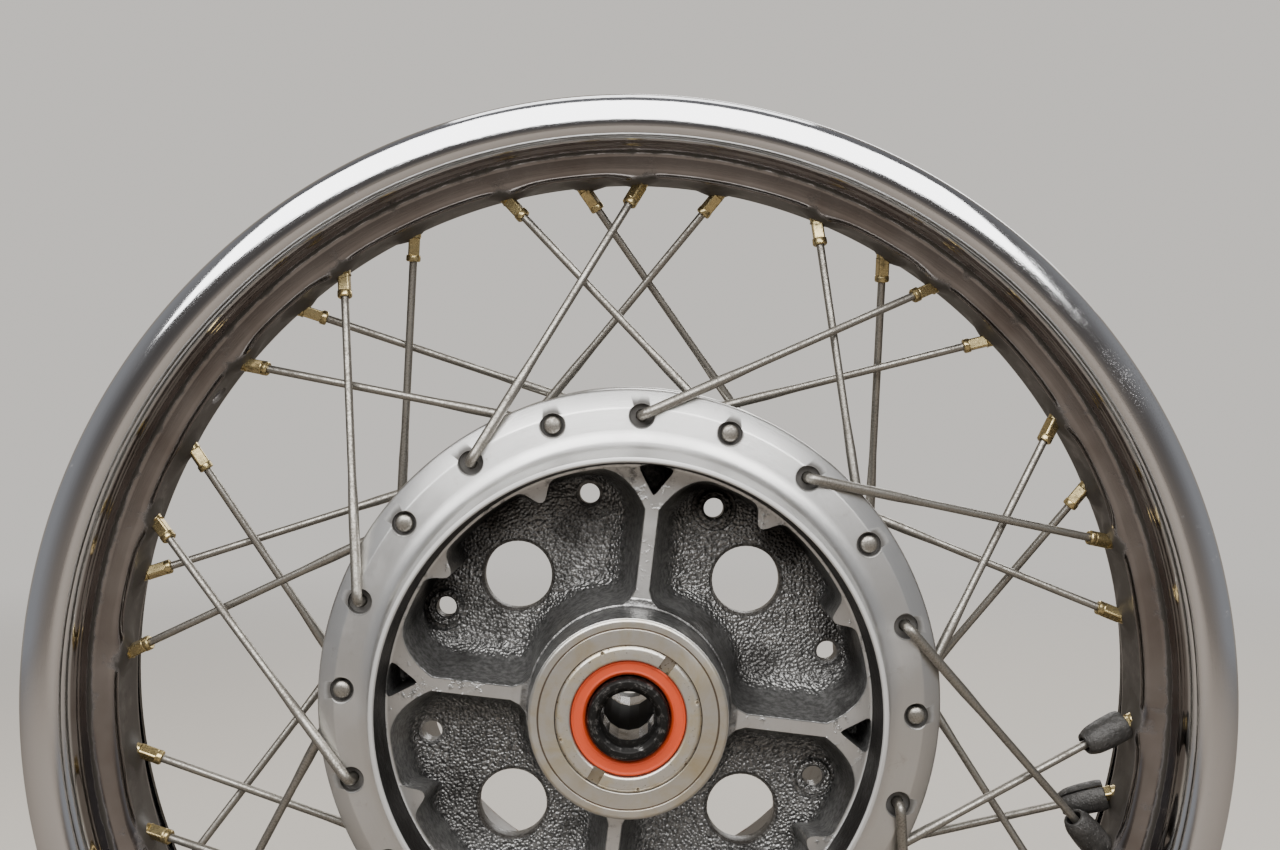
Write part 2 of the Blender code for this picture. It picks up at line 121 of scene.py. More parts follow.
def turn_piece(name, outline, steps, closed=True, smooth=30.0):
    """Turn an outline of (axial, radial) millimetres about the axle."""
    points = [Vector((radius, axial, 0.0)) * MM for axial, radius in outline]
    if closed:
        points.append(points[0])
    piece = trace(name, points)
    bpy.ops.mesh.select_all(action="SELECT")
    bpy.ops.mesh.remove_doubles(threshold=0.000001)
    bpy.ops.mesh.select_all(action="SELECT")
    bpy.ops.mesh.spin(steps=steps, angle=math.tau, center=(0, 0, 0), axis=(0, 1, 0))
    bpy.ops.mesh.select_all(action="SELECT")
    bpy.ops.mesh.remove_doubles(threshold=0.000002)
    bpy.ops.mesh.normals_make_consistent(inside=False)
    bpy.ops.object.mode_set(mode="OBJECT")
    bpy.ops.object.shade_smooth_by_angle(angle=math.radians(smooth))
    return piece


def read_points(piece):
    flat = np.empty(len(piece.data.vertices) * 3)
    piece.data.vertices.foreach_get("co", flat)
    return flat.reshape(-1, 3)


def write_points(piece, points):
    piece.data.vertices.foreach_set("co", points.ravel())
    piece.data.update()


def cut_away(piece, tools):
    """Join the cutting tools and take them out of a piece with one Boolean."""
    bpy.ops.object.select_all(action="DESELECT")
    for tool in tools:
        tool.select_set(True)
    bpy.context.view_layer.objects.active = tools[0]
    if len(tools) > 1:
        bpy.ops.object.join()
    tool = bpy.context.view_layer.objects.active
    bpy.ops.object.select_all(action="DESELECT")
    bpy.context.view_layer.objects.active = piece
    piece.select_set(True)
    boolean = piece.modifiers.new("cut", "BOOLEAN")
    boolean.operation = "DIFFERENCE"
    boolean.solver = "EXACT"
    boolean.object = tool
    bpy.ops.object.modifier_apply(modifier=boolean.name)
    bpy.data.objects.remove(tool, do_unlink=True)


def seat_and_aim(family, number):
    """Where a spoke meets the rim, the way it points there, and its bend at the hub."""
    lace = LACING[family]
    turn = lace["hub"] + SPOKE_PITCH * number
    bend = around(lace["circle"], turn, lace["bend"])
    seat = around(WELL_RADIUS, turn + lace["swing"], lace["seat"])
    return seat, (seat - bend).normalized(), bend


half_line = straight((0.0, 205.4), (8.8, 205.4), 7)
half_line += arc((8.8, 208.4), (3.0, 3.0), -90, -12, 6)
half_line += arc((15.9, 211.6), (3.4, 3.4), 172, 96, 7)
half_line += straight((15.9, 215.0), (21.0, 215.35), 3)[1:]
half_line += [(21.0, 215.35), (21.7, 215.30), (22.5, 214.98), (23.3, 214.98), (24.1, 215.38), (24.8, 215.62)]
half_line += straight((24.8, 215.62), (29.0, 215.95), 3)[1:]
half_line += arc((29.2, 219.1), (3.1, 3.1), -86, 0, 6)
half_line += arc((36.35, 219.4), (3.65, 10.35), 157, 0, 22)
half_line += arc((36.35, 219.4), (3.65, 4.3), 0, -74, 9)[1:]
sheet_line = [(-axial, radius) for axial, radius in reversed(half_line[1:])] + half_line
sheet = np.array(sheet_line)
along = np.gradient(sheet, axis=0)
along /= np.linalg.norm(along, axis=1)[:, None]
outward = np.stack((-along[:, 1], along[:, 0]), axis=1) * SHEET_HALF / MM
tip = sheet[-1] + along[-1] * 0.6
other_tip = sheet[0] - along[0] * 0.6
tyre_face = map(tuple, sheet + outward)
spoke_face = map(tuple, (sheet - outward)[::-1])
rim_outline = [*tyre_face, tuple(tip), *spoke_face, tuple(other_tip)]
rim = turn_piece("rim_rolled", rim_outline, RIM_STEPS)

# Punch the dimples: a round-nosed tear drop that leans with its spoke.
points = read_points(rim)
radius = np.hypot(points[:, 0], points[:, 2])
turn = np.arctan2(points[:, 2], points[:, 0])
push = np.zeros(len(points))
grime_and_shade = np.zeros(len(points))
for family in LACING:
    for number in range(SPOKES_EACH):
        seat, aim, bend = seat_and_aim(family, number)
        seat_turn = math.atan2(seat.z, seat.x)
        lean = math.copysign(1.0, LACING[family]["swing"])
        across = ((turn - seat_turn + math.pi) % math.tau - math.pi) * WELL_RADIUS * lean
        side = points[:, 1] - seat.y
        tail = np.where(across > 0, 6.5 * MM, 11.5 * MM)
        reach = np.hypot((across + 1.6 * MM) / tail, side / (7.0 * MM))
        push = np.maximum(push, np.exp(-(reach * 1.2) ** 2.4) * (radius < 0.2100))
        grime_and_shade = np.maximum(grime_and_shade, np.exp(-(np.hypot(across, side) / (6.0 * MM)) ** 2) * (radius < 0.2100))
shrink = (radius - push * DIMPLE_DEPTH) / radius
points[:, 0] *= shrink
points[:, 2] *= shrink
write_points(rim, points)
bpy.ops.object.select_all(action="DESELECT")
bpy.ops.mesh.primitive_cylinder_add(vertices=32, radius=VALVE_HOLE, depth=14 * MM)
valve_drill = bpy.context.object
valve_drill.data.transform(
    Matrix.Translation(around(WELL_RADIUS, VALVE_TURN))
    @ around(1.0, VALVE_TURN).to_track_quat("Z", "Y").to_matrix().to_4x4())
# Painted shade: a dark line round the corners where the well's step walls meet the bead seats, kept with the
# real dirt round the dimples.
painted_corner_shade = np.exp(-((np.abs(points[:, 1]) - 15.2 * MM) / (1.4 * MM)) ** 2) * (radius > 0.2100) * 0.45
grime_and_shade = np.clip(np.maximum(grime_and_shade, painted_corner_shade), 0, 1)
mark = rim.data.attributes.new("grime_and_shade", "FLOAT", "POINT")
mark.data.foreach_set("value", grime_and_shade)
cut_away(rim, [valve_drill])


class Tone:
    """A socket of a finish. Arithmetic on it adds Math nodes; node() adds any other node."""

    def __init__(self, tree, socket=None):
        self.tree = tree
        self.socket = socket

    def node(self, kind, inputs=(), output=0, **settings):
        made = self.tree.nodes.new(kind)
        for setting, value in settings.items():
            setattr(made, setting, value)
        for key, value in dict(inputs).items():
            if isinstance(value, Tone):
                self.tree.links.new(value.socket, made.inputs[key])
            else:
                made.inputs[key].default_value = value
        return Tone(self.tree, made.outputs[output])

    def maths(self, operation, *values):
        return self.node("ShaderNodeMath", enumerate(values), operation=operation)

    def __add__(self, other):
        return self.maths("ADD", self, other)

    def __sub__(self, other):
        return self.maths("SUBTRACT", self, other)

    def __rsub__(self, other):
        return self.maths("SUBTRACT", other, self)

    def __mul__(self, other):
        return self.maths("MULTIPLY", self, other)

    __radd__ = __add__
    __rmul__ = __mul__

    def __abs__(self):
        return self.maths("ABSOLUTE", self)

    def ramp(self, low, high):
        """Smooth step: 0 at low and 1 at high."""
        return self.node(
            "ShaderNodeMapRange", {"Value": self, "From Min": low, "From Max": high},
            interpolation_type="SMOOTHSTEP")

    def blend(self, low, high):
        """This tone as the share of the second of two colours."""
        return self.node("ShaderNodeMix", {0: self, 6: low, 7: high}, output=2, data_type="RGBA")

    def noise(self, scale, detail=4.0, roughness=0.6, distortion=0.0):
        """Noise over a vector, from 0 to 1."""
        return self.node("ShaderNodeTexNoise", {
            "Vector": self, "Scale": scale, "Detail": detail, "Roughness": roughness,
            "Distortion": distortion}, output="Fac")


class Finish:
    """A Principled material with the coordinates that its patterns are drawn on."""

    def __init__(self, name, **constants):
        self.material = bpy.data.materials.new(name)
        self.material.use_nodes = True
        self.tree = self.material.node_tree
        self.shader = self.tree.nodes["Principled BSDF"]
        for socket, value in constants.items():
            self.shader.inputs[socket.replace("_", " ")].default_value = value
        base = Tone(self.tree)
        self.place = base.node("ShaderNodeTexCoord", output="Object")
        split = self.tree.nodes.new("ShaderNodeSeparateXYZ")
        self.tree.links.new(self.place.socket, split.inputs[0])
        self.x, self.axial, self.z = (Tone(self.tree, socket) for socket in split.outputs)
        self.radius = base.maths("SQRT", self.x * self.x + self.z * self.z)
        self.turn = base.maths("ARCTAN2", self.z, self.x)

    def vector(self, *parts):
        return Tone(self.tree).node("ShaderNodeCombineXYZ", enumerate(parts))

    def attribute(self, name):
        return Tone(self.tree).node("ShaderNodeAttribute", output="Fac", attribute_name=name)

    def drive(self, **sockets):
        for name, tone in sockets.items():
            self.tree.links.new(tone.socket, self.shader.inputs[name.replace("_", " ")])

    def relief(self, height, depth, strength=1.0):
        bump = height.node("ShaderNodeBump", {"Height": height, "Distance": depth, "Strength": strength},
                           output="Normal")
        self.drive(Normal=bump)

    def put_on(self, piece):
        piece.data.materials.clear()
        piece.data.materials.append(self.material)


chrome = Finish("polished_chrome", Metallic=1.0)
rolled = chrome.vector(chrome.radius * 900.0, chrome.turn * 14.0, chrome.axial * 900.0)
scratches = rolled.noise(1.0, 3.0, 0.7)
clouds = chrome.place.noise(38.0, 3.0)
specks = chrome.place.noise(1500.0, 2.0, 0.5)
worn_side = 1.0 - abs(chrome.turn - 0.62).ramp(0.05, 0.45)
worn_side = worn_side * chrome.axial.ramp(-0.030, -0.036)
pitted = (clouds * 0.60 + worn_side * 0.34).ramp(0.44, 0.86)
pits = specks.ramp(0.52, 0.64) * pitted
# Real dirt round the dimples and in noisy patches, with the painted shade of the corner lines from the
# attribute.
rim_soot_and_shade = (chrome.attribute("grime_and_shade") * 1.6 + chrome.place.noise(160.0, 5.0) * 1.1).ramp(0.66, 1.15)
# Painted dark reflection over a thin film: the underside of the well darkened in the base colour.
well_film_and_dark_reflection = (1.0 - chrome.radius.ramp(0.2052, 0.2075)) * (1.0 - abs(chrome.axial).ramp(0.0085, 0.0100))
well_film_and_dark_reflection = well_film_and_dark_reflection * chrome.place.noise(70.0, 5.0, 0.7).ramp(-0.15, 0.55)
dirt_and_painted_shade = (rim_soot_and_shade + well_film_and_dark_reflection * 0.85).ramp(0.05, 1.0)
# Painted dark reflection: the inner part of the rim, between the flange bases, gets a darker base colour.
shaded = (1.0 - abs(chrome.axial).ramp(0.0280, 0.0296)) * (clouds * 0.5 + 0.65)
bright = shaded.blend((0.70, 0.70, 0.71, 1.0), (0.21, 0.185, 0.175, 1.0))
plate = (pits * 0.55).blend(bright, (0.32, 0.29, 0.26, 1.0))
chrome.drive(
    Base_Color=dirt_and_painted_shade.blend(plate, (0.050, 0.044, 0.038, 1.0)),
    Metallic=1.0 - dirt_and_painted_shade * 0.75,
    Roughness=0.05 + scratches * 0.07 + pits * 0.14 + pitted * 0.07 + dirt_and_painted_shade * 0.38)
chrome.relief(scratches * 0.25 + pits * -0.30 + specks * dirt_and_painted_shade * 0.8, 0.00012, 0.55)
chrome.put_on(rim)
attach(rim, "wheel")
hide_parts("rim")

# ---------------------------------------------------------------------------
# Hub shell. One aluminium sand casting: two spoke flanges, the lip and the four
# damper pockets on the near side, the brake drum on the far side. Flange, lip,
# rib tops and boss face are turned bright; the rest keeps its cast skin.
# ---------------------------------------------------------------------------

HUB_STEPS = 288
RIB_TURN = -6.7
RIB_FACE = -43.0 * MM
FLOOR = -15.4 * MM
LARGE_CIRCLE = 63.8 * MM
LARGE_TURN = 50.4
SMALL_CIRCLE = 79.8 * MM
PLAIN_TURN = 18.1
RINGED_TURN = 71.9
FLANGE_FACES = {"near": (-36.0, -28.3), "far": (18.5, 27.5)}
RIB_HALF = 1.9 * MM


def rounded(corners, count=5):
    """Outline through (axial, radial, fillet radius) corners, in millimetres."""
    outline = []
    for index, (axial, radial, fillet) in enumerate(corners):
        here = np.array((axial, radial))
        before = np.array(corners[index - 1][:2]) - here
        after = np.array(corners[(index + 1) % len(corners)][:2]) - here
        reach = min(fillet, 0.45 * np.linalg.norm(before), 0.45 * np.linalg.norm(after))
        if fillet == 0:
            outline.append((axial, radial))
            continue
        start = here + before / np.linalg.norm(before) * reach
        end = here + after / np.linalg.norm(after) * reach
        for share in np.linspace(0.0, 1.0, count):
            point = start * (1 - share) ** 2 + here * 2 * share * (1 - share) + end * share ** 2
            outline.append(tuple(point))
    return outline


hub_corners = [
    (-62.0, 26.6, 0.3), (-62.0, 32.2, 0.15), (-61.75, 32.35, 0.1), (-61.75, 32.75, 0.1), (-62.0, 32.9, 0.15),
    (-62.0, 35.2, 0.5), (-61.0, 36.3, 0.6), (-43.4, 37.6, 1.4), (-43.0, 40.0, 0.8),
    (-43.0, 91.1, 1.2), (-59.3, 91.8, 0.7), (-60.0, 92.3, 0.5), (-59.8, 94.0, 0.6), (-40.0, 97.0, 5.0),
    (-37.4, 101.5, 4.0), (-36.0, 111.9, 0.5), (-31.5, 119.3, 1.2), (-28.3, 119.2, 1.2),
    (-28.3, 100.5, 3.5), (-24.5, 97.0, 4.0), (15.0, 97.0, 4.0), (18.5, 100.5, 3.5), (18.5, 121.4, 1.2),
    (22.8, 121.9, 1.2), (27.5, 113.5, 1.0), (27.5, 105.5, 2.5), (31.5, 101.0, 3.0), (50.0, 101.0, 1.2),
    (50.0, 95.4, 0.4), (5.7, 95.4, 0), (5.7, 88.0, 1.0), (-7.0, 87.0, 6.0), (-7.0, 36.5, 6.0),
    (26.0, 33.0, 1.0), (26.0, 26.0, 0.5), (4.0, 26.0, 0), (4.0, 20.0, 0.5), (-36.7, 20.0, 0.5),
    (-36.7, 26.0, 0), (-52.3, 26.0, 0.4), (-52.3, 26.6, 0),
]
hub = turn_piece("hub_casting", rounded(hub_corners), HUB_STEPS)


def pocket_edge(degrees):
    """Outer edge of a damper pocket, at an angle counted from the rib before it."""
    to_rib = min(degrees, 90.0 - degrees)
    edge = 89.9
    for tooth in (29.5, 60.5):
        edge -= 6.9 * math.exp(-abs((degrees - tooth) / 2.7) ** 2.4)
    if to_rib < 14.0:
        edge -= 15.5 * (1.0 - max(to_rib - 1.5, 0.0) / 12.5) ** 2.0
    return edge * MM


def pocket_points(rib):
    """Outline of one pocket: along a rib, round the outer edge and back."""
    ends = math.degrees(math.asin(RIB_HALF / (44.0 * MM)))
    inner = [around(38.3 * MM, rib + share) for share in np.linspace(ends + 7.0, 83.0 - ends, 24)]
    foot = [around(40.6 * MM, rib + 90.0 - ends - 2.2), around(44.0 * MM, rib + 90.0 - ends)]
    outer = [around(pocket_edge(share), rib + share) for share in np.linspace(88.5, 1.5, 110)]
    return inner + foot + outer + [around(44.0 * MM, rib + ends), around(40.6 * MM, rib + ends + 2.2)]


def sink_plug(name, outline, levels, centre):
    """A cutting plug drawn down through (axial, scale) levels about a centre."""
    lifted = [Vector((p.x, levels[0][0], p.z)) for p in outline]
    plug = trace(name, lifted + [lifted[0]])
    bpy.ops.mesh.select_all(action="SELECT")
    bpy.ops.mesh.remove_doubles(threshold=0.00001)
    bpy.ops.mesh.select_all(action="SELECT")
    bpy.ops.mesh.edge_face_add()
    for (before, size), (after, next_size) in zip(levels, levels[1:]):
        bpy.ops.mesh.extrude_region_move(TRANSFORM_OT_translate={"value": (0, after - before, 0)})
        ratio = next_size / size
        bpy.ops.transform.resize(value=(ratio, 1.0, ratio), center_override=centre)
    bpy.ops.mesh.select_all(action="SELECT")
    bpy.ops.mesh.normals_make_consistent(inside=False)
    bpy.ops.object.mode_set(mode="OBJECT")
    return plug


def step_drill(name, outline, where, steps=40):
    """A stepped drill of (axial, radial) millimetres, moved to a place off the axle."""
    drill = turn_piece(name, outline, steps, closed=False)
    drill.data.transform(Matrix.Translation(where))
    return drill


tools = []
for quarter in range(4):
    rib = RIB_TURN + 90.0 * quarter
    middle = around(84.0 * MM, rib + 45.0)
    levels = [(RIB_FACE - 0.8 * MM, 1.014), (RIB_FACE + 0.7 * MM, 1.0), (-34.0 * MM, 0.978),
              (-28.0 * MM, 0.955), (-24.0 * MM, 0.932), (-21.0 * MM, 0.905), (-18.8 * MM, 0.873),
              (-17.2 * MM, 0.838), (-16.0 * MM, 0.797), (FLOOR, 0.750)]
    tools.append(sink_plug("pocket_plug", pocket_points(rib), levels, middle))
    fork = [around(r * MM, rib + a) for r, a in (
        (79.6, 0.0), (80.6, 0.7), (88.6, 3.9), (90.0, 4.1), (90.6, 3.5), (90.9, 1.8), (91.0, 0.0),
        (90.9, -1.8), (90.6, -3.5), (90.0, -4.1), (88.6, -3.9), (80.6, -0.7))]
    tools.append(sink_plug("fork_plug", fork, [(RIB_FACE - 0.5 * MM, 1.0), (-20.0 * MM, 0.86)],
                           around(86.0 * MM, rib)))
cut_away(hub, tools)

tools = []
for quarter in range(4):
    rib = RIB_TURN + 90.0 * quarter
    large = [(-21.0, 0.0), (-21.0, 15.6), (-15.6, 14.9), (-14.9, 14.3), (-14.6, 13.4), (-8.0, 13.4),
             (-6.5, 15.0), (-6.5, 0.0)]
    tools.append(step_drill("large_drill", large, around(LARGE_CIRCLE, rib + LARGE_TURN)))
    plain = [(-18.0, 0.0), (-18.0, 6.4), (-15.9, 5.4), (-14.4, 5.2), (-14.0, 4.0), (-6.5, 4.0), (-6.5, 0.0)]
    tools.append(step_drill("plain_drill", plain, around(SMALL_CIRCLE, rib + PLAIN_TURN), 28))
    ringed = [(-19.5, 0.0), (-19.5, 9.8), (-15.6, 9.0), (-14.6, 8.6), (-14.6, 4.0), (-6.5, 4.0), (-6.5, 0.0)]
    tools.append(step_drill("ringed_spot", ringed, around(SMALL_CIRCLE, rib + RINGED_TURN), 32))
for family, lace in LACING.items():
    side = family.split("_")[0]
    low, high = FLANGE_FACES[side]
    bore = [(low - 4.0, 0.0), (low - 4.0, 5.6), (low - 0.1, 5.1), (low + 0.5, 4.6), (low + 3.0, 4.4),
            (low + 3.4, 2.4), (high - 1.6, 2.4), (high + 0.4, 4.2), (high + 3.0, 4.2), (high + 3.0, 0.0)]
    if side == "far":
        bore = [(low + high - axial, radius) for axial, radius in bore][::-1]
    for number in range(SPOKES_EACH):
        hole = around(lace["circle"], lace["hub"] + SPOKE_PITCH * number)
        tools.append(step_drill("spoke_drill", bore, hole, 28))
cut_away(hub, tools)
bpy.ops.object.select_all(action="DESELECT")
hub.select_set(True)
bpy.context.view_layer.objects.active = hub
bpy.ops.object.shade_smooth_by_angle(angle=math.radians(32.0))

# Painted shade in the spoke holes: mark the corners that lie below the flange faces.
corners = read_points(hub)
bore_shade = np.zeros(len(corners))
for family, lace in LACING.items():
    low, high = (face * MM for face in FLANGE_FACES[family.split("_")[0]])
    for number in range(SPOKES_EACH):
        hole = around(lace["circle"], lace["hub"] + SPOKE_PITCH * number)
        away = np.hypot(corners[:, 0] - hole.x, corners[:, 2] - hole.z)
        bore_shade[(away < 4.75 * MM) & (corners[:, 1] > low) & (corners[:, 1] < high)] = 1.0
# Painted shade on the walls of the four large holes in the web as well.
for quarter in range(4):
    hole = around(LARGE_CIRCLE, RIB_TURN + 90.0 * quarter + LARGE_TURN)
    away = np.hypot(corners[:, 0] - hole.x, corners[:, 2] - hole.z)
    bore_shade[(away < 14.6 * MM) & (corners[:, 1] < -14.0 * MM)] = 0.8
hub.data.attributes.new("grime_and_shade", "FLOAT", "POINT").data.foreach_set("value", bore_shade)

cast = Finish("cast_and_turned_aluminium", Metallic=1.0)
pebble = cast.place.node("ShaderNodeTexVoronoi", {"Vector": cast.place, "Scale": 880.0, "Smoothness": 0.7},
                         output="Distance", feature="SMOOTH_F1")
grain = cast.place.noise(520.0, 3.0, 0.55)
grit = cast.place.noise(1700.0, 2.0, 0.5)
stain = cast.place.noise(60.0, 6.0, 0.65, 0.6)
fine_stain = cast.place.noise(330.0, 4.0, 0.6)
lathe = cast.vector(cast.radius * 5200.0, cast.turn * 2.2, cast.axial * 5200.0).noise(1.0, 2.0, 0.6)
# Turned skin: the outside of the near flange and lip, the boss face, and the worn rib tops.
outside = cast.radius.ramp(0.0917, 0.0921) * (1.0 - cast.axial.ramp(-0.0285, -0.0280))
boss_face = (1.0 - cast.axial.ramp(-0.0616, -0.0608)) * (1.0 - cast.radius.ramp(0.0368, 0.0372))
rib_top = 1.0 - cast.axial.ramp(-0.0428, -0.0420)
rib_top = rib_top * cast.axial.ramp(-0.0436, -0.0432) * cast.radius.ramp(0.0400, 0.0412)
far_flange = cast.radius.ramp(0.1030, 0.1050) * cast.axial.ramp(0.0160, 0.0170)
drum_lip = cast.axial.ramp(0.0485, 0.0492) * cast.radius.ramp(0.0945, 0.0950)
turned = (outside + boss_face + far_flange + drum_lip).ramp(0.0, 1.0)
scuffed_rib = rib_top * (stain * 0.6 + fine_stain * 0.6).ramp(0.36, 0.60)
floor_skin = cast.axial.ramp(-0.0230, -0.0165) * (1.0 - cast.axial.ramp(-0.0150, -0.0140))
cast_tone = grain.ramp(0.30, 0.72).blend((0.15, 0.148, 0.144, 1.0), (0.34, 0.335, 0.327, 1.0))
soot_patch = cast.place.noise(30.0, 4.0, 0.55).ramp(0.44, 0.66)
# Painted shadow: the upper pockets darker towards the lip.
lip_shadow = cast.radius.ramp(0.066, 0.090) * cast.z.ramp(-0.02, 0.06) * cast.axial.ramp(-0.050, -0.030)
# Painted shade: the inner wall of the lip near-black; it is also rougher.
lip_wall_shade = cast.radius.ramp(0.0903, 0.0909) * (1.0 - cast.axial.ramp(-0.0430, -0.0424))
# Random soot patches, mixed with the painted shadow and shade, darken the cast skin.
soot_and_painted_shade = (soot_patch * 0.60 + lip_shadow * 0.55 + lip_wall_shade * 0.80).ramp(0.0, 1.0)
cast_tone = soot_and_painted_shade.blend(cast_tone, (0.035, 0.032, 0.030, 1.0))
hollow = pebble.ramp(0.44, 0.66) * floor_skin
cast_tone = (hollow * 0.30).blend(cast_tone, (0.030, 0.028, 0.026, 1.0))
barrel = cast.radius.ramp(0.0940, 0.0955)
cast_tone = (barrel * 0.85).blend(cast_tone, fine_stain.ramp(0.30, 0.75).blend(
    (0.20, 0.19, 0.175, 1.0), (0.36, 0.35, 0.33, 1.0)))
bright = (lathe * 0.5 + 0.2).blend((0.60, 0.595, 0.58, 1.0), (0.71, 0.70, 0.68, 1.0))
brown = (stain * 0.8 + fine_stain * 0.35).ramp(0.66, 0.86)
rust_freckle = fine_stain.ramp(0.66, 0.76) * stain.ramp(0.52, 0.62)
bright = (brown * 0.30 + rust_freckle * 0.45).blend(bright, (0.18, 0.125, 0.075, 1.0))
yellowed = boss_face * stain.ramp(0.38, 0.70)
bright = (yellowed * 0.60 + boss_face * 0.15).blend(bright, (0.56, 0.46, 0.26, 1.0))
edge_line = 1.0 - abs(cast.radius - 0.03255).ramp(0.00018, 0.00042)
bright = (edge_line * boss_face * 0.8).blend(bright, (0.10, 0.06, 0.03, 1.0))
skin = (turned + scuffed_rib * 0.85).ramp(0.0, 1.0)
# Painted shade in the marked bores: darker colour, less metal and more roughness.
oily_bore_shade = cast.attribute("grime_and_shade").ramp(0.2, 0.9)
cast.drive(
    Base_Color=(oily_bore_shade * 0.85).blend(skin.blend(cast_tone, bright), (0.030, 0.024, 0.018, 1.0)),
    Metallic=skin * 0.15 + 0.82 - oily_bore_shade * 0.5,
    Roughness=(0.29 + skin * 0.02 + lip_wall_shade * 0.25 + grit * 0.10
               - lathe * 0.04 + oily_bore_shade * 0.3 + soot_patch * 0.10))
cast.relief(
    pebble * floor_skin * -1.3 + grain * (1.0 - skin) * 0.5 + grit * (1.0 - skin) * 0.16
    + lathe * skin * 0.030 + fine_stain * skin * 0.03,
    0.0010, 0.75)
cast.put_on(hub)
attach(hub, "wheel")
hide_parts("hub_shell")

# Raised collars round the four ringed holes of the web, cast with it and spot faced.
collar_turns = [
    (-14.7, 4.1), (-14.7, 7.2), (-16.6, 7.0), (-17.3, 6.4), (-17.3, 5.0), (-16.8, 4.5), (-7.4, 4.1)]
for quarter in range(4):
    collar = turn_piece(f"web_collar_{quarter + 1}", collar_turns, 48)
    ringed_hole = around(SMALL_CIRCLE, RIB_TURN + 90.0 * quarter + RINGED_TURN)
    collar.data.transform(Matrix.Translation(ringed_hole))
    cast.put_on(collar)
    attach(collar, "wheel")

# ---------------------------------------------------------------------------
# Brake drum liner. A ring of grey cast iron cast into the far side of the hub,
# bored to 180 mm. The shoes leave fine rings; the unswept edge rusts.
# ---------------------------------------------------------------------------

liner = turn_piece("drum_liner", rounded([
    (6.0, 90.6, 0.3), (6.0, 95.1, 0), (49.5, 95.1, 0.4), (49.5, 91.0, 0.6), (46.0, 90.2, 0.8),
    (45.0, 90.0, 0.5), (8.0, 90.0, 0.5), (7.0, 90.5, 0.3)]), 240)
iron = Finish("bored_cast_iron", Metallic=0.9)
rings = iron.vector(iron.axial * 3600.0, iron.turn * 1.6, 0.0).noise(1.0, 3.0, 0.6)
rust = iron.place.noise(190.0, 6.0, 0.7).ramp(0.45, 0.68) * (iron.axial.ramp(0.0435, 0.0465) + 0.12)
swept = rings.blend((0.20, 0.195, 0.19, 1.0), (0.36, 0.355, 0.35, 1.0))
iron.drive(
    Base_Color=rust.blend(swept, (0.17, 0.075, 0.03, 1.0)),
    Roughness=0.26 + rings * 0.16 + rust * 0.4)
iron.relief(rings * 0.5 + rust * iron.place.noise(1600.0) * 0.8, 0.00022, 0.6)
iron.put_on(liner)
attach(liner, "wheel")
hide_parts("brake_drum_liner")

# ---------------------------------------------------------------------------
# Bearings and distance collar. Ground steel rings, balls and cages pressed into
# the hub, with a plain tube between the inner rings. They keep their CAD shapes.
# ---------------------------------------------------------------------------

ground = Finish("ground_steel", Metallic=1.0)
haze = ground.place.noise(260.0, 4.0)
oil = ground.place.noise(90.0, 4.0).ramp(0.45, 0.70)
ground.drive(
    Base_Color=oil.blend((0.52, 0.52, 0.53, 1.0), (0.20, 0.17, 0.13, 1.0)),
    Roughness=0.14 + haze * 0.18)
for end in ("near", "far"):
    for ring in ("outer_ring", "inner_ring", "ball_cage"):
        ground.put_on(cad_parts[f"{end}_bearing_{ring}"])

# ---------------------------------------------------------------------------
# Axle collars. Turned steel spacers, oil-blackened, that carry the lips of the
# dust seals; the axle clamps them against the inner rings of the bearings.
# ---------------------------------------------------------------------------

dark_steel = Finish("oil_blackened_steel", Metallic=0.95)
wear = dark_steel.place.noise(420.0, 5.0, 0.65)
lathe_mark = dark_steel.vector(dark_steel.radius * 4200.0, dark_steel.turn * 2.0, dark_steel.axial * 4200.0)
lathe_mark = lathe_mark.noise(1.0, 2.0, 0.6)
rubbed = (wear * 0.8 + lathe_mark * 0.35).ramp(0.58, 0.80)
dark_steel.drive(
    Base_Color=rubbed.blend((0.022, 0.021, 0.020, 1.0), (0.26, 0.25, 0.24, 1.0)),
    Roughness=0.50 - rubbed * 0.20 + lathe_mark * 0.08)
dark_steel.relief(lathe_mark * 0.5 + wear * 0.5, 0.00015, 0.6)
near_low, near_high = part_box("near_axle_collar")
far_low, far_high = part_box("far_axle_collar")
collar_radius = near_high.x / MM
for name, start, end, node in (
        ("near_collar_turned", near_low.y / MM, near_high.y / MM, "near_axle_collar"),
        ("far_collar_turned", far_high.y / MM, far_low.y / MM, "far_axle_collar")):
    out = math.copysign(1.0, start - end)
    collar = turn_piece(name, rounded([
        (start, 11.6, 0.4), (start, collar_radius - 0.9, 0.4), (start - out * 1.2, collar_radius, 0.4),
        (end, collar_radius, 0.2), (end, 10.0, 0.2), (start - out * 1.6, 10.0, 0.4)]), 96)
    dark_steel.put_on(collar)
    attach(collar, "axle_stack")
    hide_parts(node)
greased = Finish("greased_steel_tube", Metallic=0.35)
smear = greased.place.noise(120.0, 4.0)
greased.drive(Base_Color=smear.blend((0.006, 0.006, 0.006, 1.0), (0.030, 0.027, 0.023, 1.0)),
              Roughness=0.62 + smear * 0.2)
greased.put_on(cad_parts["distance_collar"])

# ---------------------------------------------------------------------------
# Bearing retainer. A threaded aluminium ring screwed in over the near bearing
# with a pin spanner, then staked over its thread in four places.
# ---------------------------------------------------------------------------

